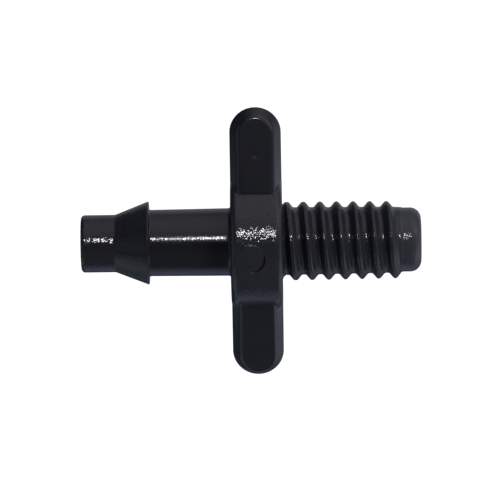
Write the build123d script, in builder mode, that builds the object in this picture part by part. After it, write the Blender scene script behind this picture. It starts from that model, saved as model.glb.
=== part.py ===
from build123d import *
import os
from math import cos, radians, sin

os.makedirs("parts", exist_ok=True)

# Barb-to-thread fitting for micro irrigation, one plastic moulding divided at its natural zones.
# It lies flat: X runs along the waterway from the hose barb to the male thread, Y along the two
# finger wings, and Z is up. The mould parts on the plane Z = 0. The origin is on the waterway's
# axis, on the hub's thread-side face, where the thread is screwed home.

# driving dimensions, mm
waterway_radius = 1.3
mouth_rounding = 0.15

nose_length = 2.5
nose_radius = 2.2
nose_rim = 0.45
cone_length = 2.7
lip_radius = 3.2
lip_rounding = 0.06
stem_length = 6.25
stem_radius_at_barb = 2.54
stem_radius_at_hub = 2.59
stem_fillet = 0.2

hub_width = 3.95
hub_radius = 5.05
hub_edge = 0.5
seat_depth = 0.3
mark_radius = 1.05
mark_station = -2.3
mark_level = 5.03
mark_reach = 0.5

wing_reach = 10.6
wing_tip_radius = 1.96
wing_root_width = 3.95
wing_bevel = 0.57
wing_tip_bevel = 0.45
wing_tip_thickness = 2.18
wing_face_slope = 13.8
wing_crease = 0.22
wing_seam = 5.4

thread_pitch = 1.27
thread_major_radius = 3.0
thread_core_radius = 2.59
thread_phase = 0.40
thread_length = 9.2
thread_fillet = 0.45
thread_embed = 0.16
turns_before_y = 0.75
crest_flat = 0.2
crest_rounding = 0.09
flank_run = 0.4
lead_in_start = 8.64

pilot_length = 1.4
pilot_radius = 2.46
pilot_rim = 0.85

# stations along X
hub_back = -hub_width
cone_back = hub_back - stem_length
cone_front = cone_back - cone_length
nose_end = cone_front - nose_length
pilot_end = thread_length + pilot_length
hub_middle = -hub_width / 2


def round_mouth(part, station):
    """Round the waterway's edge where it opens at this station along X."""
    rims = part.edges().filter_by(GeomType.CIRCLE).filter_by_position(Axis.X, station, station)
    fillet(rims.sort_by(SortBy.RADIUS)[0], radius=mouth_rounding)


# barb nose: the plain end that enters the hose first
with BuildPart() as barb_nose:
    with BuildSketch(Plane.XY) as section:
        with BuildLine():
            Polyline(
                (nose_end, waterway_radius),
                (nose_end, nose_radius),
                (cone_front, nose_radius),
                (cone_front, waterway_radius),
                close=True,
            )
        make_face()
        outer_corner = section.vertices().group_by(Axis.X)[0].sort_by(Axis.Y)[-1]
        fillet(outer_corner, radius=nose_rim)
    revolve(axis=Axis.X)
    round_mouth(barb_nose, nose_end)

# barb cone: opens to the sharp lip that holds the hose
with BuildPart() as barb_cone:
    with BuildSketch(Plane.XY) as section:
        with BuildLine():
            Polyline(
                (cone_front, waterway_radius),
                (cone_front, nose_radius),
                (cone_back, lip_radius),
                (cone_back, waterway_radius),
                close=True,
            )
        make_face()
        fillet(section.vertices().sort_by(Axis.Y)[-1], radius=lip_rounding)
    revolve(axis=Axis.X)

# barb stem: the neck that the hose grips, rooted in the hub with a small fillet
with BuildPart() as barb_stem:
    with BuildSketch(Plane.XY):
        with BuildLine():
            neck = Line((cone_back, stem_radius_at_barb), (hub_back - stem_fillet, stem_radius_at_hub))
            RadiusArc(neck @ 1, (hub_back, stem_radius_at_hub + stem_fillet), stem_fillet)
            Polyline(
                (hub_back, stem_radius_at_hub + stem_fillet),
                (hub_back + seat_depth, stem_radius_at_hub + stem_fillet),
                (hub_back + seat_depth, waterway_radius),
                (cone_back, waterway_radius),
                (cone_back, stem_radius_at_barb),
            )
        make_face()
    revolve(axis=Axis.X)

# wing blank: the upper half is a ruled loft from the outline on the parting plane to the sloping face
wing_shoulder = wing_reach - wing_tip_radius
face_tip = wing_reach - wing_tip_bevel
face_tip_radius = wing_tip_radius - wing_bevel
slope = radians(wing_face_slope)
face_length = face_tip / cos(slope)
face_plane = Plane(
    origin=(hub_middle, face_tip, wing_tip_thickness / 2),
    x_dir=(1, 0, 0),
    z_dir=(0, sin(slope), cos(slope)),
)
with BuildPart() as wing_blank:
    with BuildSketch(Plane.XY):
        with BuildLine():
            root_half = wing_root_width / 2
            left = Line((hub_middle - root_half, 0), (hub_middle - wing_tip_radius, wing_shoulder))
            right = Line((hub_middle + wing_tip_radius, wing_shoulder), (hub_middle + root_half, 0))
            ThreePointArc(left @ 1, (hub_middle, wing_reach), right @ 0)
            Line(right @ 1, left @ 0)
        make_face()
    with BuildSketch(face_plane):
        with BuildLine():
            face_half = root_half - wing_bevel
            left = Line((-face_half, -face_length), (-face_tip_radius, -face_tip_radius))
            right = Line((face_tip_radius, -face_tip_radius), (face_half, -face_length))
            ThreePointArc(left @ 1, (0, 0), right @ 0)
            Line(right @ 1, left @ 0)
        make_face()
    loft(ruled=True)
    finger_face = wing_blank.faces().sort_by(Axis.Z)[-1]
    fillet(finger_face.edges().group_by(Axis.Y)[1:], radius=wing_crease)
    mirror(about=Plane.XY)

# hub: a disc with rounded edges, the roots of both wings and a flat round ejector mark on its crown
with BuildPart() as hub:
    with BuildSketch(Plane.XY) as section:
        with BuildLine():
            Polyline((hub_back, 0), (hub_back, hub_radius), (0, hub_radius), (0, 0), close=True)
        make_face()
        fillet(section.vertices().group_by(Axis.Y)[-1], radius=hub_edge)
    revolve(axis=Axis.X)
    add(wing_blank.part)
    add(mirror(wing_blank.part, about=Plane.XZ))
    split(bisect_by=Plane.XZ.offset(-wing_seam), keep=Keep.TOP)
    split(bisect_by=Plane.XZ.offset(wing_seam), keep=Keep.BOTTOM)
    with BuildSketch(Plane.XY.offset(mark_level)) as mark:
        with Locations((mark_station, 0)):
            Circle(mark_radius)
    extrude(amount=mark_reach, mode=Mode.SUBTRACT)
    extrude(mark.sketch, amount=-mark_reach)
    with BuildSketch(Plane.YZ.offset(hub_back)):
        Circle(waterway_radius)
    extrude(amount=hub_width, mode=Mode.SUBTRACT)
    with BuildSketch(Plane.YZ.offset(hub_back)):
        Circle(stem_radius_at_hub + stem_fillet)
    extrude(amount=seat_depth, mode=Mode.SUBTRACT)
    with BuildSketch(Plane.YZ):
        Circle(thread_core_radius + thread_fillet)
    extrude(amount=-seat_depth, mode=Mode.SUBTRACT)

# finger wings: the blank beyond the seam, on either side of the hub
with BuildPart() as left_wing:
    add(wing_blank.part)
    split(bisect_by=Plane.XZ.offset(-wing_seam), keep=Keep.BOTTOM)

with BuildPart() as right_wing:
    add(mirror(left_wing.part, about=Plane.XZ))

# thread ridge: one rounded tooth swept along a right-hand helix, cut back at the hub and at the tip. The
# helix starts three quarters of a turn before it first points along +Y, where thread_phase is its station.
thread_height = thread_major_radius - thread_core_radius
ridge_start = thread_phase - turns_before_y * thread_pitch
ridge_run = thread_length + thread_pitch
with BuildPart() as thread_ridge:
    with BuildLine() as track:
        Helix(
            pitch=thread_pitch,
            height=ridge_run,
            radius=thread_core_radius,
            center=(ridge_start, 0, 0),
            direction=(1, 0, 0),
        )
    start = track.line @ 0
    outward = Vector(0, start.Y, start.Z)
    with BuildSketch(Plane(origin=start, x_dir=(1, 0, 0), z_dir=Vector(1, 0, 0).cross(outward))) as tooth:
        with BuildLine():
            half_crest = crest_flat / 2
            half_root = half_crest + flank_run
            Polyline(
                (-half_root, -thread_embed),
                (-half_root, 0),
                (-half_crest, thread_height),
                (half_crest, thread_height),
                (half_root, 0),
                (half_root, -thread_embed),
                close=True,
            )
        make_face()
        fillet(tooth.vertices().group_by(Axis.Y)[-1], radius=crest_rounding)
    sweep(path=track.line, is_frenet=True)
    with BuildSketch(Plane.XY):
        with BuildLine():
            Polyline(
                (0, 0),
                (0, thread_major_radius + thread_embed),
                (lead_in_start - thread_embed, thread_major_radius + thread_embed),
                (lead_in_start + thread_major_radius, 0),
                close=True,
            )
        make_face()
    revolve(axis=Axis.X, mode=Mode.INTERSECT)

# threaded stud: a slim core with a fillet at the hub, and the ridge wound round it
with BuildPart() as threaded_stud:
    with BuildSketch(Plane.XY):
        with BuildLine():
            collar_radius = thread_core_radius + thread_fillet
            Polyline(
                (thread_fillet, thread_core_radius),
                (thread_length, pilot_radius),
                (thread_length, waterway_radius),
                (-seat_depth, waterway_radius),
                (-seat_depth, collar_radius),
                (0, collar_radius),
            )
            RadiusArc((0, collar_radius), (thread_fillet, thread_core_radius), -thread_fillet)
        make_face()
    revolve(axis=Axis.X)
    add(thread_ridge.part)

# pilot: the plain tip that finds the tapped hole before the thread does
with BuildPart() as thread_pilot:
    with BuildSketch(Plane.XY) as section:
        with BuildLine():
            Polyline(
                (thread_length, waterway_radius),
                (thread_length, pilot_radius),
                (pilot_end, pilot_radius),
                (pilot_end, waterway_radius),
                close=True,
            )
        make_face()
        outer_corner = section.vertices().group_by(Axis.X)[-1].sort_by(Axis.Y)[-1]
        fillet(outer_corner, radius=pilot_rim)
    revolve(axis=Axis.X)
    round_mouth(thread_pilot, pilot_end)

zones = {
    "barb_nose": barb_nose,
    "barb_cone": barb_cone,
    "barb_stem": barb_stem,
    "hub": hub,
    "left_wing": left_wing,
    "right_wing": right_wing,
    "threaded_stud": threaded_stud,
    "thread_pilot": thread_pilot,
}
for name, zone in zones.items():
    zone.part.label = name
    export_step(zone.part, f"parts/{name}.step")
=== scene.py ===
"""Looks of the barb-to-thread fitting: one black plastic moulding, lying flat on a white floor."""

from math import cos, pi, radians, sin, tan

import bmesh
import bpy
import numpy as np
from mathutils import Matrix, Vector


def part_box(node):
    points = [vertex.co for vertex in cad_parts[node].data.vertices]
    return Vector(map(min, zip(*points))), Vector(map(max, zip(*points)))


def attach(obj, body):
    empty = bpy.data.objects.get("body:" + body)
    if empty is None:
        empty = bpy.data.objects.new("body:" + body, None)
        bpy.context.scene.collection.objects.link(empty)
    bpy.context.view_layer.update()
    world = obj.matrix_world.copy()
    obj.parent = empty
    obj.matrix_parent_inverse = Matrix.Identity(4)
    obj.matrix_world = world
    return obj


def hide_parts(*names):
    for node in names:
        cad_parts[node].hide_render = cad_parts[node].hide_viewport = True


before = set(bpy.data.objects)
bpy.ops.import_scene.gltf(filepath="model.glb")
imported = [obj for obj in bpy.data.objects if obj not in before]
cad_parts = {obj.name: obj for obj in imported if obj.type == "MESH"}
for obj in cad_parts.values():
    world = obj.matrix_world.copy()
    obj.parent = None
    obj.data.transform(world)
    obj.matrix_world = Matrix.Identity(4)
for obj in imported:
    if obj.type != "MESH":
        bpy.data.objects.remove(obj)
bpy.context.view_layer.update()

# Shapes are worked out in millimetres and become metres when a mesh is made.
MM = 0.001


def span(node, axis):
    """Where a CAD node starts and ends along one axis, in millimetres."""
    low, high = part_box(node)
    return low[axis] / MM, high[axis] / MM


# Stations along X and sizes that the frame gives
NOSE_END, NOSE_BACK = span("barb_nose", 0)
CONE_BACK = span("barb_cone", 0)[1]
STEM_SEAT = span("barb_stem", 0)[1]
HUB_BACK, HUB_FRONT = span("hub", 0)
STUD_SEAT, STUD_END = span("threaded_stud", 0)
PILOT_END = span("thread_pilot", 0)[1]
NOSE_RADIUS = span("barb_nose", 2)[1]
LIP_RADIUS = span("barb_cone", 2)[1]
HUB_RADIUS = span("hub", 2)[1]
PILOT_RADIUS = span("thread_pilot", 2)[1]
WING_SEAM, WING_REACH = span("left_wing", 1)
FLOOR_LEVEL = -HUB_RADIUS
HUB_MIDDLE = (HUB_BACK + HUB_FRONT) / 2
HUB_HALF = (HUB_FRONT - HUB_BACK) / 2

# Sizes in millimetres: the CAD model's driving dimensions, a few of them adjusted slightly for the look
WATERWAY_RADIUS = 1.3
MOUTH_ROUNDING = 0.15
NOSE_RIM = 0.30
CONE_FOOT = 0.6
LIP_ROUNDING = 0.08
STEM_RADIUS_AT_BARB = 2.54
STEM_RADIUS_AT_HUB = 2.59
STEM_FILLET = 0.2
LIP_FILLET = 0.15
HUB_EDGE = 0.5
WING_TIP_RADIUS = 1.96
WING_BEVEL = 0.57
WING_TIP_BEVEL = 0.45
WING_TIP_THICKNESS = 2.18
WING_SLOPE = tan(radians(13.8))
WING_CREASE = 0.40
CORNER_BLEND = 0.6
MARK_STATION = -2.4
MARK_RADIUS = 1.08
MARK_LEVEL = 4.99
THREAD_PITCH = 1.27
THREAD_PHASE = 0.40
THREAD_FILLET = 0.45
THREAD_ROOT = 2.55
ROOT_FLAT = 0.04
THREAD_CREST = 3.05
ROOT_TAPER = 0.008
CREST_TAPER = 0.010
CREST_SHARPNESS = 1.1
LAST_CREST = 8.62
RUN_OUT = 0.45
PILOT_RIM = 0.85

# The hollow in each corner between hub and wing, as insets from the wing's outline
HOLLOW_RAMP = 0.12
HOLLOW_FULL = WING_BEVEL - 0.25
HOLLOW_END = WING_BEVEL + 0.1

# The ejector mark: a slightly tipped pad, in a ring that is deeper on its low side, with a burr outside it
PAD_TILT = 0.04
PAD_EDGE = 0.035
RING_DEPTH = 0.007
RING_EXTRA_DEPTH = 0.10
RING_OFFSET = 0.02
RING_WIDTH = 0.055
BURR_HEIGHT = 0.055
BURR_OFFSET = 0.12
BURR_WIDTH = 0.09

# A shallow pock in the left wing's face, from the wing's middle line and the waterway
POCK_PLACE = (-0.05, 7.3)
POCK_RADIUS = 0.18

# A thin witness of the mould's parting plane runs along both sides of every round part
PARTING_HEIGHT = 0.012
PARTING_WIDTH = 0.018

# Depth of the slow unevenness of every moulded surface
SKIN_DEPTH = 0.0015

# How finely the meshes are divided
THREAD_STEP = 0.034
CREASE_STEP = 0.02
CROWN_STEP = 0.06
CORNER_STEP = 0.015
MARK_STEP = 0.018
MARK_CLEARANCE = 0.18
MARK_FINE_MARGIN = 0.09
MARK_HOLE_REACH = 1.36
CREASE_END = WING_BEVEL + 0.33
FACE_START = WING_BEVEL + 0.35
VALLEY_START = 3.7
CORNER_END = 5.12
OUTER_START = 5.13
WELD_DISTANCE = 0.0001
MARK_BORDER_SHARES = (0.4, 0.75, 1.0)
PAD_RINGS = (0.9, 0.8, 0.65, 0.45, 0.25, 0.1)

# The hub's columns keep their inset up to here, and are squeezed or spread beyond it to fit its width
FIXED_INSET = 0.9

# Blends of smooth_max. The least one is as good as none, and keeps the division in it defined.
LEAST_BLEND = 0.0001
FILLET_BLEND = 0.08

# How softly a wing's face starts to rise past the bevel of its tip
FACE_BLEND = 0.04

# Edges steeper than this, in degrees, are shaded sharp
SHARP_ANGLE = 38

# Strength of what the camera sees as burnt-out white
BURNT_OUT = 1.1


# ---------------------------------------------------------------- small helpers


def smooth_step(start, end, value):
    """0 before start, 1 after end and an even ramp between them."""
    share = np.clip((value - start) / (end - start), 0, 1)
    return share * share * (3 - 2 * share)


def smooth_max(a, b, blend):
    """The larger of two heights, rounded where they cross."""
    share = np.clip(1 - np.abs(a - b) / blend, 0, 1)
    return np.maximum(a, b) + share * share * blend / 4


def line(start, end, steps):
    """Points from start up to, but not including, end."""
    share = np.arange(steps)[:, None] / steps
    return np.array(start) * (1 - share) + np.array(end) * share


def arc(centre, radius, start, end, steps=8):
    """Points of an arc between two angles in degrees, both ends included."""
    angle = np.radians(np.linspace(start, end, steps + 1))
    return np.array(centre) + radius * np.stack([np.cos(angle), np.sin(angle)], axis=1)


def make_piece(name, node, vertices, faces, material, outer_material=None):
    """A closed, smooth-shaded mesh for one CAD node. outer_material goes on the hub's wing roots."""
    mesh = bpy.data.meshes.new(name)
    mesh.from_pydata((np.asarray(vertices) * MM).tolist(), [], faces)
    work = bmesh.new()
    work.from_mesh(mesh)
    bmesh.ops.remove_doubles(work, verts=work.verts, dist=WELD_DISTANCE * MM)
    bmesh.ops.dissolve_degenerate(work, edges=work.edges, dist=WELD_DISTANCE * MM)
    bmesh.ops.recalc_face_normals(work, faces=work.faces)
    work.to_mesh(mesh)
    work.free()
    mesh.shade_smooth()
    mesh.set_sharp_from_angle(angle=radians(SHARP_ANGLE))
    mesh.materials.append(material)
    if outer_material:
        mesh.materials.append(outer_material)
        for face in mesh.polygons:
            x, y, z = face.center / MM
            wing_surface = wing_height(wing_half_width(y) - abs(x - HUB_MIDDLE), y)
            face.material_index = int(wing_surface > abs(z) - 0.01)
    piece = bpy.data.objects.new(name, mesh)
    bpy.context.scene.collection.objects.link(piece)
    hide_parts(node)
    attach(piece, "root")
    return piece


# ---------------------------------------------------------------- material and light


def black_plastic(name, shade, roughness, pit_size, tipping, ior=1.5, tip_gain=1.0):
    """Near-black moulded plastic.

    Its pits are pit_size millimetres apart, and tipping says how steep they are. tip_gain lightens it past
    the end of the thread.
    """
    material = bpy.data.materials.new(name)
    material.use_nodes = True
    nodes = material.node_tree.nodes
    links = material.node_tree.links
    shader = nodes["Principled BSDF"]
    shader.inputs["IOR"].default_value = ior

    place = nodes.new("ShaderNodeTexCoord")

    def noise(scale_mm, detail, distortion=0.0):
        texture = nodes.new("ShaderNodeTexNoise")
        texture.inputs["Scale"].default_value = 1 / (scale_mm * MM)
        texture.inputs["Detail"].default_value = detail
        texture.inputs["Distortion"].default_value = distortion
        links.new(place.outputs["Object"], texture.inputs["Vector"])
        return texture

    def ramp(source, low, high, from_min=0.3, from_max=0.7):
        spread = nodes.new("ShaderNodeMapRange")
        spread.inputs["From Min"].default_value = from_min
        spread.inputs["From Max"].default_value = from_max
        spread.inputs["To Min"].default_value = low
        spread.inputs["To Max"].default_value = high
        links.new(source, spread.inputs["Value"])
        return spread.outputs["Result"]

    # colour: a soft, slow drift of the pigment with the faintest blue
    drift = noise(2.4, 3)
    tint = nodes.new("ShaderNodeMix")
    tint.data_type = "RGBA"
    tint.inputs["A"].default_value = (0.9 * shade, 0.96 * shade, 1.22 * shade, 1)
    tint.inputs["B"].default_value = (1.1 * shade, 1.12 * shade, 1.34 * shade, 1)
    links.new(ramp(drift.outputs["Fac"], 0, 1), tint.inputs["Factor"])
    # the base colour grows lighter from the last crest to the end of the stud, up to tip_gain times, and
    # stays so on the pilot
    split = nodes.new("ShaderNodeSeparateXYZ")
    links.new(place.outputs["Object"], split.inputs["Vector"])
    lighter_tip = nodes.new("ShaderNodeVectorMath")
    lighter_tip.operation = "SCALE"
    links.new(tint.outputs["Result"], lighter_tip.inputs[0])
    links.new(ramp(split.outputs["X"], 1, tip_gain, LAST_CREST * MM, STUD_END * MM), lighter_tip.inputs["Scale"])
    links.new(lighter_tip.outputs["Vector"], shader.inputs["Base Color"])

    # roughness: handling has polished some patches and dulled others
    handling = noise(1.1, 4, 0.4)
    patchy = ramp(handling.outputs["Fac"], roughness * 0.94, roughness * 1.07)
    links.new(patchy, shader.inputs["Roughness"])

    # relief: a gentle unevenness of the skin, and the mould's fine pits, which tip the surface here and there
    skin = noise(0.9, 2)
    bump = nodes.new("ShaderNodeBump")
    bump.inputs["Strength"].default_value = 1.0
    bump.inputs["Distance"].default_value = SKIN_DEPTH * MM
    links.new(skin.outputs["Fac"], bump.inputs["Height"])
    pits = noise(pit_size, 1)
    centred = nodes.new("ShaderNodeVectorMath")
    centred.operation = "SUBTRACT"
    centred.inputs[1].default_value = (0.5, 0.5, 0.5)
    links.new(pits.outputs["Color"], centred.inputs[0])
    tilt = nodes.new("ShaderNodeVectorMath")
    tilt.operation = "MULTIPLY_ADD"
    tilt.inputs[1].default_value = (tipping, tipping, tipping)
    links.new(centred.outputs["Vector"], tilt.inputs[0])
    links.new(bump.outputs["Normal"], tilt.inputs[2])
    unit = nodes.new("ShaderNodeVectorMath")
    unit.operation = "NORMALIZE"
    links.new(tilt.outputs["Vector"], unit.inputs[0])
    links.new(unit.outputs["Vector"], shader.inputs["Normal"])
    return material


# ---------------------------------------------------------------- round parts


def round_angles():
    """Angles from +Y towards +Z, closer together where the parting line runs, at 0 and 180 degrees."""
    even = np.arange(0, 180, 1.5)
    beside_line = np.array([0.25, 0.5, 0.75, 1.0])
    half = np.unique(np.concatenate([even, beside_line, 180 - beside_line]))
    return np.radians(np.concatenate([half, half + 180]))


ANGLES = round_angles()


def parting_ridge(radius):
    """Height of the parting line's witness on a round of this radius, at each of the angles."""
    away = radius * np.abs(np.sin(ANGLES))
    return PARTING_HEIGHT * np.exp(-((away / PARTING_WIDTH) ** 2))


def turned(name, node, outside, inside, material):
    """A part made by turning two profiles of (x, radius) about X. outside may hold one radius per angle."""
    outside = np.asarray(outside, float)
    if outside.ndim == 2:
        radius = outside[:, 1:2] + parting_ridge(outside[:, 1:2])
        # the witness dies out on faces that look along the axis
        steep = np.abs(np.gradient(outside[:, 1])) > 4 * np.abs(np.gradient(outside[:, 0])) + 1e-9
        radius[steep] = outside[steep, 1:2]
        station = np.repeat(outside[:, :1], len(ANGLES), axis=1)
    else:
        station = outside[:, :, 0]
        radius = outside[:, :, 1]
    inside = np.asarray(inside, float)
    station = np.concatenate([station, np.repeat(inside[:, :1], len(ANGLES), axis=1)])
    radius = np.concatenate([radius, np.repeat(inside[:, 1:2], len(ANGLES), axis=1)])
    vertices = np.stack([station, radius * np.cos(ANGLES), radius * np.sin(ANGLES)], axis=-1)
    rings, turns = radius.shape
    index = np.arange(rings * turns).reshape(rings, turns)
    after = np.roll(index, -1, axis=0)
    quads = np.stack(
        [index, after, np.roll(after, -1, axis=1), np.roll(index, -1, axis=1)], axis=-1
    ).reshape(-1, 4)
    return make_piece(name, node, vertices.reshape(-1, 3), quads.tolist(), material)


def bore(start, end, steps=6):
    """The waterway's wall from one station back to another."""
    wall = line((start, WATERWAY_RADIUS), (end, WATERWAY_RADIUS), steps)
    return np.vstack([wall, [(end, WATERWAY_RADIUS)]])


def barb_nose(material):
    rim_centre = (NOSE_END + NOSE_RIM, NOSE_RADIUS - NOSE_RIM)
    mouth_centre = (NOSE_END + MOUTH_ROUNDING, WATERWAY_RADIUS + MOUTH_ROUNDING)
    outside = np.vstack([
        arc(mouth_centre, MOUTH_ROUNDING, 270, 180, 6),
        arc(rim_centre, NOSE_RIM, 180, 90, 12),
        line((rim_centre[0] + 0.01, NOSE_RADIUS), (NOSE_BACK, NOSE_RADIUS), 12),
        [(NOSE_BACK, NOSE_RADIUS)],
    ])
    return turned("moulded_barb_nose", "barb_nose", outside, bore(NOSE_BACK, mouth_centre[0]), material)


def barb_cone(material):
    """The cone leaves the nose through a small concave foot and ends at the lip."""
    slope = np.arctan2(LIP_RADIUS - NOSE_RADIUS, CONE_BACK - NOSE_BACK)
    foot = arc((NOSE_BACK, NOSE_RADIUS + CONE_FOOT), CONE_FOOT, -90, -90 + np.degrees(slope), 6)
    tip = (CONE_BACK - LIP_ROUNDING, LIP_RADIUS - LIP_ROUNDING)
    lip = arc(tip, LIP_ROUNDING, 90 + np.degrees(slope), 0, 8)
    outside = np.vstack([
        foot,
        line(foot[-1] + (lip[0] - foot[-1]) * 0.02, lip[0], 20),
        lip,
        line((CONE_BACK, tip[1] - 0.02), (CONE_BACK, WATERWAY_RADIUS), 5),
    ])
    return turned("moulded_barb_cone", "barb_cone", outside, bore(CONE_BACK, NOSE_BACK), material)


def barb_stem(material):
    lip_fillet = arc((CONE_BACK + LIP_FILLET, STEM_RADIUS_AT_BARB + LIP_FILLET), LIP_FILLET, 180, 270)
    hub_fillet = arc((HUB_BACK - STEM_FILLET, STEM_RADIUS_AT_HUB + STEM_FILLET), STEM_FILLET, 270, 360)
    outside = np.vstack([
        lip_fillet,
        line(lip_fillet[-1] + (0.02, 0), hub_fillet[0], 30),
        hub_fillet,
        [(STEM_SEAT, hub_fillet[-1][1])],
    ])
    return turned("moulded_barb_stem", "barb_stem", outside, bore(STEM_SEAT, CONE_BACK, 10), material)


def thread_pilot(material):
    rim_centre = (PILOT_END - PILOT_RIM, PILOT_RADIUS - PILOT_RIM)
    mouth_centre = (PILOT_END - MOUTH_ROUNDING, WATERWAY_RADIUS + MOUTH_ROUNDING)
    outside = np.vstack([
        line((STUD_END, PILOT_RADIUS), rim_centre + np.array([0, PILOT_RIM]), 8),
        arc(rim_centre, PILOT_RIM, 90, 0, 18),
        arc(mouth_centre, MOUTH_ROUNDING, 0, -90, 6),
    ])
    return turned("moulded_thread_pilot", "thread_pilot", outside, bore(mouth_centre[0], STUD_END), material)


def threaded_stud(material):
    """A right-hand thread: the ridge moves one pitch along X for each turn from +Y towards +Z."""
    near_hub = THREAD_FILLET * (1 - np.cos(np.radians(np.arange(0, 90, 6))))
    along = np.concatenate([near_hub, np.arange(THREAD_FILLET, STUD_END - 0.01, THREAD_STEP), [STUD_END]])
    station = np.repeat(along[:, None], len(ANGLES), axis=1)
    root = THREAD_ROOT - ROOT_TAPER * station
    root += (PILOT_RADIUS - root) * smooth_step(LAST_CREST - THREAD_PITCH / 2, STUD_END, station)
    end = smooth_step(STUD_END - RUN_OUT / 2, STUD_END, station)
    crest = THREAD_CREST - CREST_TAPER * station
    turns = (station - THREAD_PHASE) / THREAD_PITCH - ANGLES / (2 * pi)
    tooth = ((1 + np.cos(2 * pi * turns)) / 2) ** CREST_SHARPNESS
    nearest_crest = station - (turns - np.round(turns)) * THREAD_PITCH
    fading = (1 - smooth_step(LAST_CREST, LAST_CREST + RUN_OUT, nearest_crest)) * (1 - end)
    # a nearly flat floor cuts off the foot of the tooth
    flat = ROOT_FLAT * (1 - end)
    radius = smooth_max(root + (crest - root) * tooth * fading, root + flat, LEAST_BLEND + 2 * flat)
    left = np.clip(THREAD_FILLET - station, 0, THREAD_FILLET)
    fillet = root + THREAD_FILLET - np.sqrt(THREAD_FILLET**2 - left**2)
    radius = smooth_max(radius, fillet, LEAST_BLEND + FILLET_BLEND * left / THREAD_FILLET)
    collar = THREAD_ROOT + THREAD_FILLET
    radius = np.where(station < 1e-6, collar, np.minimum(radius, collar))
    radius += parting_ridge(radius) * smooth_step(0.05, 0.3, station)
    seat = np.stack([np.full(len(ANGLES), STUD_SEAT), np.full(len(ANGLES), collar)], axis=-1)
    outside = np.concatenate([seat[None], np.stack([station, radius], axis=-1)])
    return turned("moulded_threaded_stud", "threaded_stud", outside, bore(STUD_END, STUD_SEAT, 10), material)


# ---------------------------------------------------------------- hub and wings


def wing_face(y):
    """Height of a wing's sloping face."""
    return WING_TIP_THICKNESS / 2 + (WING_REACH - WING_TIP_BEVEL - np.abs(y)) * WING_SLOPE


def wing_height(inset, y):
    """Height of a wing at this inset from its outline: bevel, rounded crease, face."""
    face = wing_face(y)
    flank = np.arctan2(face, WING_BEVEL)
    reach = WING_CREASE * np.tan(flank / 2)
    centre = WING_BEVEL + reach
    across = np.clip(WING_CREASE**2 - (inset - centre) ** 2, 0, None)
    crease = face - WING_CREASE + np.sqrt(across)
    bevel = inset * face / WING_BEVEL
    on_bevel = inset < WING_BEVEL - reach * np.cos(flank)
    return np.where(on_bevel, bevel, np.where(inset < centre, crease, face))


def wing_half_width(y):
    shoulder = WING_REACH - WING_TIP_RADIUS
    return HUB_HALF + (WING_TIP_RADIUS - HUB_HALF) * np.abs(y) / shoulder


def disc_height(side, y):
    """Height of the hub's rounded disc, at this distance inside its nearer flat side."""
    left = np.clip(HUB_EDGE - side, 0, HUB_EDGE)
    radius = HUB_RADIUS - HUB_EDGE + np.sqrt(HUB_EDGE**2 - left**2)
    rest = radius**2 - y**2
    return np.sign(rest) * np.sqrt(np.abs(rest))


def hub_height(x, y):
    """Height of the hub with its wing roots above the parting plane."""
    away = np.abs(x - HUB_MIDDLE)
    disc = disc_height(HUB_HALF - away, y)
    inset = wing_half_width(y) - away
    wing = wing_height(inset, y)
    # the valley is sharp along the wing's face and rounds out into a hollow at each corner
    hollow = 1 - smooth_step(HOLLOW_FULL, HOLLOW_END, inset)
    blend = CORNER_BLEND * hollow * smooth_step(0, HOLLOW_RAMP, inset)
    return np.maximum(smooth_max(disc, wing, np.maximum(blend, LEAST_BLEND)), 0)


def valley_station():
    """Where along Y the wing's face meets the hub's crown."""
    y = HUB_RADIUS
    # each round lands nearer the crossing, and 60 are more than enough
    for _ in range(60):
        y = np.sqrt(HUB_RADIUS**2 - wing_face(y) ** 2)
    return y


def marked_height(x, y):
    """The hub's crown with its round ejector mark. The burr stays below the top of the hub."""
    base = hub_height(x, y)
    dx = x - MARK_STATION
    away = np.hypot(dx, y)
    low_side = np.clip((dx - y) / (np.sqrt(2) * np.maximum(away, 1e-6)), 0, 1) ** 3
    pad = MARK_LEVEL + PAD_TILT * (y - dx)
    on_pad = 1 - smooth_step(MARK_RADIUS - PAD_EDGE, MARK_RADIUS + PAD_EDGE, away)
    depth = RING_DEPTH + RING_EXTRA_DEPTH * low_side
    ring = depth * np.exp(-(((away - MARK_RADIUS + RING_OFFSET) / RING_WIDTH) ** 2))
    burr = BURR_HEIGHT * low_side * np.exp(-(((away - MARK_RADIUS - BURR_OFFSET) / BURR_WIDTH) ** 2))
    return np.minimum(base + (pad - base) * on_pad - ring + burr, HUB_RADIUS)


def insets():
    """Insets from the hub's and a wing's outline to its middle, closest together on the rounded edges."""
    rounded = HUB_EDGE * (1 - np.cos(np.radians(np.arange(0, 91, 7.5))))
    crease = np.arange(HUB_EDGE + CREASE_STEP, CREASE_END, CREASE_STEP)
    face = np.linspace(FACE_START, wing_half_width(WING_SEAM), 20)
    return np.concatenate([rounded, crease, face])


def rows():
    """Stations across the hub along Y, closest together where the wings leave the disc."""
    valley = valley_station()
    middle = np.arange(0, VALLEY_START, CROWN_STEP)
    before = np.linspace(VALLEY_START, valley, 34)
    after = np.linspace(valley, HUB_RADIUS - HUB_EDGE, 10)[1:-1]
    corner = np.arange(HUB_RADIUS - HUB_EDGE, CORNER_END, CORNER_STEP)
    outer = np.linspace(OUTER_START, WING_SEAM, 6)
    half = np.concatenate([middle, before, after, corner, outer])
    return np.concatenate([-half[:0:-1], half])


def hub_half_width(y):
    """Half the width of the hub's outline on the parting plane."""
    edge_start = HUB_RADIUS - HUB_EDGE
    over = np.clip(np.abs(y) - edge_start, 0, HUB_EDGE)
    side = HUB_EDGE - np.sqrt(HUB_EDGE**2 - over**2)
    disc = np.where(np.abs(y) < HUB_RADIUS, HUB_HALF - side, 0)
    return np.maximum(disc, wing_half_width(y))


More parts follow.
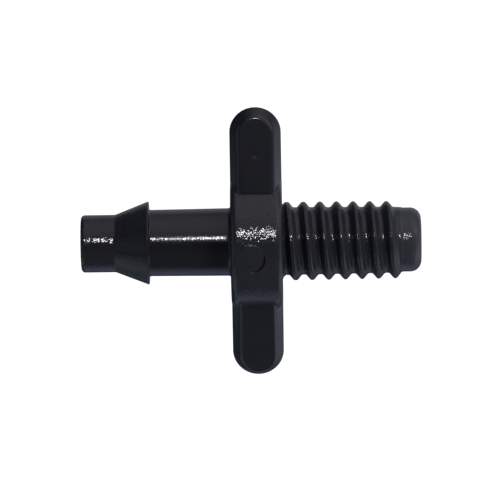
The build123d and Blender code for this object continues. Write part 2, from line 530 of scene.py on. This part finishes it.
class Sheet:
    """Collects vertices and faces, and hands out vertex numbers."""

    def __init__(self):
        self.vertices = []
        self.faces = []

    def add(self, points):
        first = len(self.vertices)
        points = np.asarray(points, float)
        self.vertices.extend(points.reshape(-1, 3).tolist())
        return np.arange(first, len(self.vertices)).reshape(points.shape[:-1])

    def strip(self, first, second, closed=False):
        """Quads between two rows of vertices."""
        count = len(first) if closed else len(first) - 1
        for i in range(count):
            j = (i + 1) % len(first)
            self.faces.append((int(first[i]), int(first[j]), int(second[j]), int(second[i])))

    def grid(self, index, skip=None):
        """Quads between neighbouring rows and columns, apart from those that skip picks out."""
        for r in range(index.shape[0] - 1):
            for c in range(index.shape[1] - 1):
                if skip is None or not skip(r, c):
                    around = (index[r, c], index[r, c + 1], index[r + 1, c + 1], index[r + 1, c])
                    self.faces.append(tuple(int(i) for i in around))


def ejector_mark(sheet, points, index, row_range, column_range):
    """Fills the hole left in the crown's grid with rings round the ejector mark."""
    r0, r1 = row_range
    c0, c1 = column_range
    border = [(r0, c) for c in range(c0, c1)]
    border += [(r, c1) for r in range(r0, r1)]
    border += [(r1, c) for c in range(c1, c0, -1)]
    border += [(r, c0) for r in range(r1, r0, -1)]
    outer = np.array([index[rc] for rc in border])
    edge = np.array([points[rc][:2] for rc in border]) - (MARK_STATION, 0)
    angle = np.arctan2(edge[:, 1], edge[:, 0])
    circle = np.stack([np.cos(angle), np.sin(angle)], axis=1)
    clear_radius = MARK_RADIUS + MARK_CLEARANCE
    flat = [edge * (1 - t) + circle * clear_radius * t for t in MARK_BORDER_SHARES]
    fine_radii = np.arange(clear_radius - MARK_STEP, MARK_RADIUS - MARK_FINE_MARGIN, -MARK_STEP)
    flat += [circle * r for r in fine_radii]
    flat += [circle * r for r in PAD_RINGS]
    previous = outer
    for ring in flat:
        x = ring[:, 0] + MARK_STATION
        y = ring[:, 1]
        current = sheet.add(np.stack([x, y, marked_height(x, y)], axis=1))
        sheet.strip(previous, current, closed=True)
        previous = current
    sheet.faces.append(tuple(int(i) for i in previous))


def hub(material, wing_material):
    """The disc with both wing roots: an upper and a lower sheet, two flat sides and the bored middle."""
    inset = insets()
    ys = rows()
    width = hub_half_width(ys)[:, None]
    # one column per inset from either side
    scale = smooth_step(FIXED_INSET, inset[-1], inset) * (width / inset[-1] - 1) + 1
    left = HUB_MIDDLE - width + inset * scale
    right = HUB_MIDDLE + width - (inset * scale)[:, -2::-1]
    x = np.concatenate([left, right], axis=1)
    y = np.repeat(ys[:, None], x.shape[1], axis=1)
    z = hub_height(x, y)
    seam = np.abs(np.abs(y) - WING_SEAM) < 1e-6
    z = np.where(seam, wing_height(wing_half_width(y) - np.abs(x - HUB_MIDDLE), y), z)
    top_points = np.stack([x, y, z], axis=-1)
    low_points = top_points * (1, 1, -1)

    sheet = Sheet()
    top = sheet.add(top_points)
    low = sheet.add(low_points)

    # leave a hole in the upper grid where the mark's rings go
    from_mark = x[len(ys) // 2] - MARK_STATION
    r0 = int(np.argmin(np.abs(ys + MARK_HOLE_REACH)))
    r1 = int(np.argmin(np.abs(ys - MARK_HOLE_REACH)))
    c0 = int(np.argmin(np.abs(from_mark + MARK_HOLE_REACH)))
    c1 = int(np.argmin(np.abs(from_mark - MARK_HOLE_REACH)))
    sheet.grid(top, skip=lambda r, c: r0 <= r < r1 and c0 <= c < c1)
    sheet.grid(low)
    ejector_mark(sheet, top_points, top, (r0, r1), (c0, c1))

    # end walls, where the wings carry on
    sheet.strip(top[0], low[0])
    sheet.strip(top[-1], low[-1])

    # edges past the disc, and loops round both flat sides within it
    within = np.where(np.abs(ys) <= HUB_RADIUS - HUB_EDGE + 1e-6)[0]
    first, last = within[0], within[-1]
    loops = []
    for column in (0, -1):
        sheet.strip(top[: first + 1, column], low[: first + 1, column])
        sheet.strip(top[last:, column], low[last:, column])
        loops.append(np.concatenate([top[first : last + 1, column], low[first : last + 1, column][::-1]]))
    corner = np.array([sheet.vertices[i] for i in loops[0]])
    angle = np.arctan2(corner[:, 2], corner[:, 1])

    def circle(station, radius):
        stations = np.full(len(angle), station)
        return sheet.add(np.stack([stations, radius * np.cos(angle), radius * np.sin(angle)], axis=1))

    stem_seat_radius = STEM_RADIUS_AT_HUB + STEM_FILLET
    stud_seat_radius = THREAD_ROOT + THREAD_FILLET
    chain = [
        loops[0],
        circle(HUB_BACK, stem_seat_radius),
        circle(STEM_SEAT, stem_seat_radius),
        circle(STEM_SEAT, WATERWAY_RADIUS),
        circle(STUD_SEAT, WATERWAY_RADIUS),
        circle(STUD_SEAT, stud_seat_radius),
        circle(HUB_FRONT, stud_seat_radius),
        loops[1],
    ]
    for one, other in zip(chain, chain[1:]):
        sheet.strip(one, other, closed=True)
    return make_piece("moulded_hub", "hub", sheet.vertices, sheet.faces, material, wing_material)


def wing(name, node, side, material, pock_depth=0.0):
    """One finger wing past the seam; side is +1 for the left wing and -1 for the right one."""
    inset = insets()
    seam_width = wing_half_width(WING_SEAM)
    shoulder = WING_REACH - WING_TIP_RADIUS
    straight = np.linspace(WING_SEAM, shoulder, 42)[:-1]
    turn = np.radians(np.linspace(0, 180, 73))
    side_x = wing_half_width(straight)
    edge_x = np.concatenate([side_x, WING_TIP_RADIUS * np.cos(turn), -side_x[::-1]])
    edge_y = np.concatenate([straight, shoulder + WING_TIP_RADIUS * np.sin(turn), straight[::-1]])
    middle_y = np.minimum(edge_y, shoulder)
    middle_y[len(straight) : len(straight) + len(turn)] = shoulder
    outward = np.stack([edge_x, edge_y - middle_y], axis=1)
    reach = np.hypot(outward[:, 0], outward[:, 1])
    toward_tip = (edge_y - middle_y) / reach
    bevel = WING_BEVEL + (WING_TIP_BEVEL - WING_BEVEL) * toward_tip**2
    crease_y = edge_y - bevel * toward_tip
    share = (inset / seam_width)[None, :]
    x = edge_x[:, None] * (1 - share)
    y = edge_y[:, None] + (middle_y - edge_y)[:, None] * share
    depth = share * reach[:, None]
    past = depth - bevel[:, None]
    rise = (np.sqrt(past**2 + FACE_BLEND**2) + past) / 2
    z = wing_height(depth * (WING_BEVEL / bevel)[:, None], crease_y[:, None])
    z += rise * toward_tip[:, None] * WING_SLOPE
    z[:, 0] = 0
    points = np.stack([x + HUB_MIDDLE, y * side, z], axis=-1)
    away = np.hypot(x - POCK_PLACE[0], y - POCK_PLACE[1])
    pock = pock_depth * np.exp(-((away / POCK_RADIUS) ** 2))

    sheet = Sheet()
    top = sheet.add(points - pock[..., None] * (0, 0, 1))
    low = sheet.add(points * (1, 1, -1))
    sheet.grid(top)
    sheet.grid(low)
    sheet.strip(top[0], low[0])
    sheet.strip(top[-1], low[-1])
    return make_piece(name, node, sheet.vertices, sheet.faces, material)


# ---------------------------------------------------------------- the pieces

glossy = black_plastic("smooth_black_plastic", shade=0.010, roughness=0.14, pit_size=0.13, tipping=0.10)
satin = black_plastic("satin_black_plastic", shade=0.013, roughness=0.14, pit_size=0.16, tipping=0.05)
matt = black_plastic("matt_black_plastic", shade=0.014, roughness=0.13, pit_size=0.13, tipping=0.36, ior=1.47)
grained = black_plastic(
    "grained_black_plastic", shade=0.020, roughness=0.12, pit_size=0.13, tipping=0.42, ior=1.46
)
dull = black_plastic(
    "dull_black_plastic", shade=0.018, roughness=0.15, pit_size=0.13, tipping=0.42, ior=1.42, tip_gain=2.0
)

barb_nose(matt)
barb_cone(matt)
barb_stem(glossy)
hub(grained, satin)
wing("moulded_left_wing", "left_wing", 1, satin, pock_depth=0.018)
wing("moulded_right_wing", "right_wing", -1, satin)
threaded_stud(dull)
thread_pilot(dull)

# ---------------------------------------------------------------- floor, light and camera


def bearing(azimuth, elevation):
    """Unit vector in a direction given in degrees: azimuth from +Y towards +X, elevation above the floor."""
    turn, lift = radians(azimuth), radians(elevation)
    return Vector((sin(turn) * cos(lift), cos(turn) * cos(lift), sin(lift)))


def studio_world():
    """What the part reflects: soft glows from several sides over dim daylight. The camera sees white."""
    world = bpy.data.worlds.new("studio")
    bpy.context.scene.world = world
    world.use_nodes = True
    nodes = world.node_tree.nodes
    links = world.node_tree.links
    nodes.clear()
    place = nodes.new("ShaderNodeTexCoord")

    def glow(colour, strength=1.0):
        background = nodes.new("ShaderNodeBackground")
        background.inputs["Color"].default_value = (*colour, 1)
        background.inputs["Strength"].default_value = strength
        return background

    def lobe(azimuth, elevation, reach, falloff, colour):
        """A soft glow round one bearing, dark past reach. All angles are in degrees."""
        dot = nodes.new("ShaderNodeVectorMath")
        dot.operation = "DOT_PRODUCT"
        dot.inputs[1].default_value = bearing(azimuth, elevation)
        links.new(place.outputs["Generated"], dot.inputs[0])
        fade = nodes.new("ShaderNodeMapRange")
        fade.inputs["From Min"].default_value = cos(radians(reach))
        fade.inputs["From Max"].default_value = 1.0
        links.new(dot.outputs["Value"], fade.inputs["Value"])
        shape = nodes.new("ShaderNodeMath")
        shape.operation = "POWER"
        shape.inputs[1].default_value = falloff
        links.new(fade.outputs["Result"], shape.inputs[0])
        background = glow(colour)
        links.new(shape.outputs["Value"], background.inputs["Strength"])
        return background

    total = glow((0.044, 0.050, 0.072)).outputs["Background"]
    for light in (
        lobe(22, 18, 66, 2.0, (0.75, 0.72, 0.75)),
        lobe(12, -28, 42, 1.2, (0.20, 0.21, 0.23)),
        lobe(30, -74, 40, 1.0, (0.32, 0.33, 0.37)),
        lobe(105, -14, 60, 1.5, (0.32, 0.33, 0.40)),
        lobe(-90, 14, 40, 1.0, (0.27, 0.28, 0.34)),
        lobe(-90, 60, 30, 1.0, (0.06, 0.06, 0.08)),
        lobe(-128, -9, 18, 1.0, (0.24, 0.25, 0.31)),
        lobe(-145, 16, 31, 0.8, (0.40, 0.43, 0.52)),
        lobe(178, -16, 34, 1.2, (0.25, 0.29, 0.42)),
        lobe(180, 50, 40, 1.0, (0.08, 0.08, 0.09)),
        lobe(128, 6, 30, 1.0, (0.40, 0.42, 0.48)),
        lobe(56, 11, 22, 1.0, (0.45, 0.50, 0.60)),
    ):
        join = nodes.new("ShaderNodeAddShader")
        links.new(total, join.inputs[0])
        links.new(light.outputs["Background"], join.inputs[1])
        total = join.outputs["Shader"]

    seen = glow((1, 1, 1), BURNT_OUT)
    path = nodes.new("ShaderNodeLightPath")
    choose = nodes.new("ShaderNodeMixShader")
    links.new(path.outputs["Is Camera Ray"], choose.inputs["Fac"])
    links.new(total, choose.inputs[1])
    links.new(seen.outputs["Background"], choose.inputs[2])
    out = nodes.new("ShaderNodeOutputWorld")
    links.new(choose.outputs["Shader"], out.inputs["Surface"])


def studio_floor():
    """A plain white sheet, burnt out. Only the camera sees it: the world's lower half has its sheen."""
    half = 1.5
    mesh = bpy.data.meshes.new("studio_floor")
    level = FLOOR_LEVEL * MM
    corners = [(-half, -half, level), (half, -half, level), (half, half, level), (-half, half, level)]
    mesh.from_pydata(corners, [], [(0, 1, 2, 3)])
    floor = bpy.data.objects.new("studio_floor", mesh)
    bpy.context.scene.collection.objects.link(floor)
    material = bpy.data.materials.new("white_sheet")
    material.use_nodes = True
    nodes = material.node_tree.nodes
    links = material.node_tree.links
    nodes.clear()
    burnt_out = nodes.new("ShaderNodeEmission")
    burnt_out.inputs["Color"].default_value = (1, 1, 1, 1)
    burnt_out.inputs["Strength"].default_value = BURNT_OUT
    clear = nodes.new("ShaderNodeBsdfTransparent")
    path = nodes.new("ShaderNodeLightPath")
    choose = nodes.new("ShaderNodeMixShader")
    links.new(path.outputs["Is Camera Ray"], choose.inputs["Fac"])
    links.new(clear.outputs["BSDF"], choose.inputs[1])
    links.new(burnt_out.outputs["Emission"], choose.inputs[2])
    out = nodes.new("ShaderNodeOutputMaterial")
    links.new(choose.outputs["Shader"], out.inputs["Surface"])
    mesh.materials.append(material)


def disc_lamp(name, direction, distance, size, energy):
    """A round area lamp that shines on the origin from a direction."""
    data = bpy.data.lights.new(name, "AREA")
    data.shape = "DISK"
    data.size = size
    data.energy = energy
    lamp = bpy.data.objects.new(name, data)
    bpy.context.scene.collection.objects.link(lamp)
    look = (-direction).to_track_quat("-Z", "Y").to_matrix().to_4x4()
    lamp.matrix_world = Matrix.Translation(direction * distance) @ look
    return lamp


KEY_TILT = 29.0
CAMERA_TILT = radians(15.7)
CAMERA_YAW = radians(0.5)
CAMERA_ROLL = radians(0.8)
CAMERA_DISTANCE = 0.38
FRAME_WIDTH = 38.26 * MM
AIM_STATION = -2.50
AIM_BELOW_AXIS = 0.64


def camera():
    """A long lens above the part, leaning towards the left wing."""
    across = Vector((1, 0, 0))
    toward = Vector((0, sin(CAMERA_TILT), cos(CAMERA_TILT)))
    up = Vector((0, cos(CAMERA_TILT), -sin(CAMERA_TILT)))
    target = (across * AIM_STATION - up * AIM_BELOW_AXIS) * MM
    place = target + (toward * cos(CAMERA_YAW) + across * sin(CAMERA_YAW)) * CAMERA_DISTANCE
    data = bpy.data.cameras.new("camera")
    data.sensor_width = 36
    data.lens = data.sensor_width * CAMERA_DISTANCE / FRAME_WIDTH
    data.clip_start = 0.01
    view = bpy.data.objects.new("camera", data)
    bpy.context.scene.collection.objects.link(view)
    forward = (target - place).normalized()
    right = forward.cross(up).normalized()
    top = right.cross(forward)
    axes = Matrix((right, top, -forward)).transposed().to_4x4()
    view.matrix_world = Matrix.Translation(place) @ axes @ Matrix.Rotation(-CAMERA_ROLL, 4, "Z")
    bpy.context.scene.camera = view


studio_world()
studio_floor()
key = disc_lamp("key", bearing(0, 90 - KEY_TILT), distance=0.6, size=0.05, energy=0.6)
key.visible_diffuse = False
for side, azimuth, energy in (("upper", 45, 2.2), ("lower", 130, 2.8)):
    window = disc_lamp(f"{side}_window", bearing(azimuth, 30), distance=0.8, size=0.4, energy=energy)
    window.visible_glossy = False
camera()
bpy.context.scene.view_settings.view_transform = "Standard"

bpy.context.view_layer.update()
